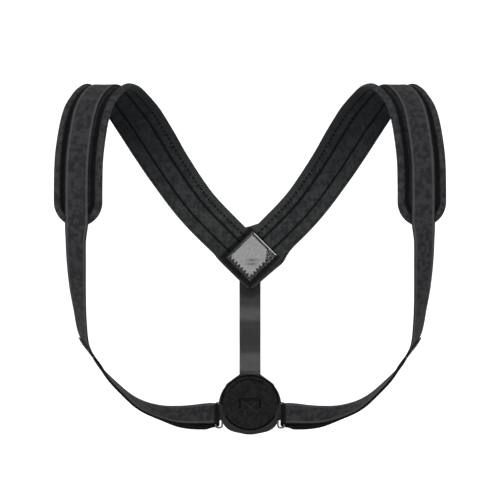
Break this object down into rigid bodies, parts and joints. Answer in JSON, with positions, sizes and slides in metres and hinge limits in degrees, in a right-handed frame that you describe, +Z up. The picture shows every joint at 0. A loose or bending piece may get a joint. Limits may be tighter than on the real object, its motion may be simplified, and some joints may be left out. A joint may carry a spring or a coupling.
{
  "type": "posture corrector",
  "caption": "Figure-of-eight back brace: padded shoulder straps meeting in a V, webbing side straps and a back strap joined at a round lumbar disc.",
  "frame": {"origin": "midway between the shoulders, level with the underside of the pads where they sit on the shoulders' crests", "axes": "+Z up, the wearer faces -Y, +X to the wearer's left"},
  "size_m": [0.4112, 0.1923, 0.3961],
  "materials": {
    "pad_fabric": "charcoal knitted cover over foam, perforated on the inner face",
    "webbing": "dark grey woven webbing with lighter selvedges",
    "satin_webbing": "dark grey satin webbing",
    "patch_leather": "glossy black leather with puckered stitched edges",
    "disc_fabric": "black fabric with a sewn groove round its rim",
    "ring_steel": "plated steel wire"
  },
  "bodies": {
    "root": {"pad_left": "pad_fabric", "pad_right": "pad_fabric", "side_strap_left": "webbing", "side_strap_right": "webbing", "centre_patch": "patch_leather", "back_strap": "satin_webbing", "back_disc": "disc_fabric", "ring_left": "ring_steel", "ring_right": "ring_steel", "ring_tab_left": "webbing", "ring_tab_right": "webbing"}
  },
  "joints": []
}
